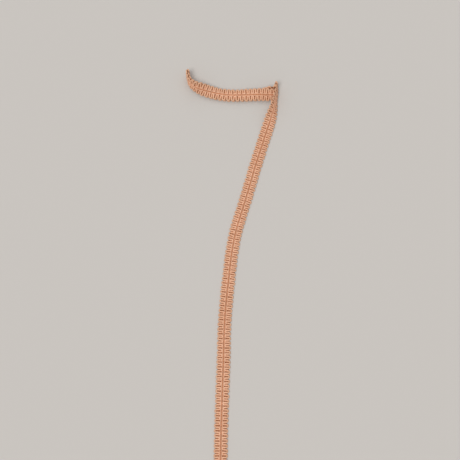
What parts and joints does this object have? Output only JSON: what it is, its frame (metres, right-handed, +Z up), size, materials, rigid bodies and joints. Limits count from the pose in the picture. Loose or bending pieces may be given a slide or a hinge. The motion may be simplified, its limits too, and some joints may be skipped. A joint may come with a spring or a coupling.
{
  "type": "length of gimp braid",
  "caption": "Looped-edge gimp braid trimming, laid out flat: a flattened loop of two layers at the top and a long gently curved tail.",
  "frame": {"origin": "on the surface that the braid lies on, under the middle of the braid's box", "axes": "+Z up from the surface, +Y along the tail towards the flattened loop, +X towards the corner where the tail leaves the loop"},
  "size_m": [0.116, 0.5278, 0.0163],
  "materials": {
    "braid": "silky rayon gimp cord, matte to soft sheen"
  },
  "bodies": {
    "root": {"braid": "braid"}
  },
  "joints": []
}
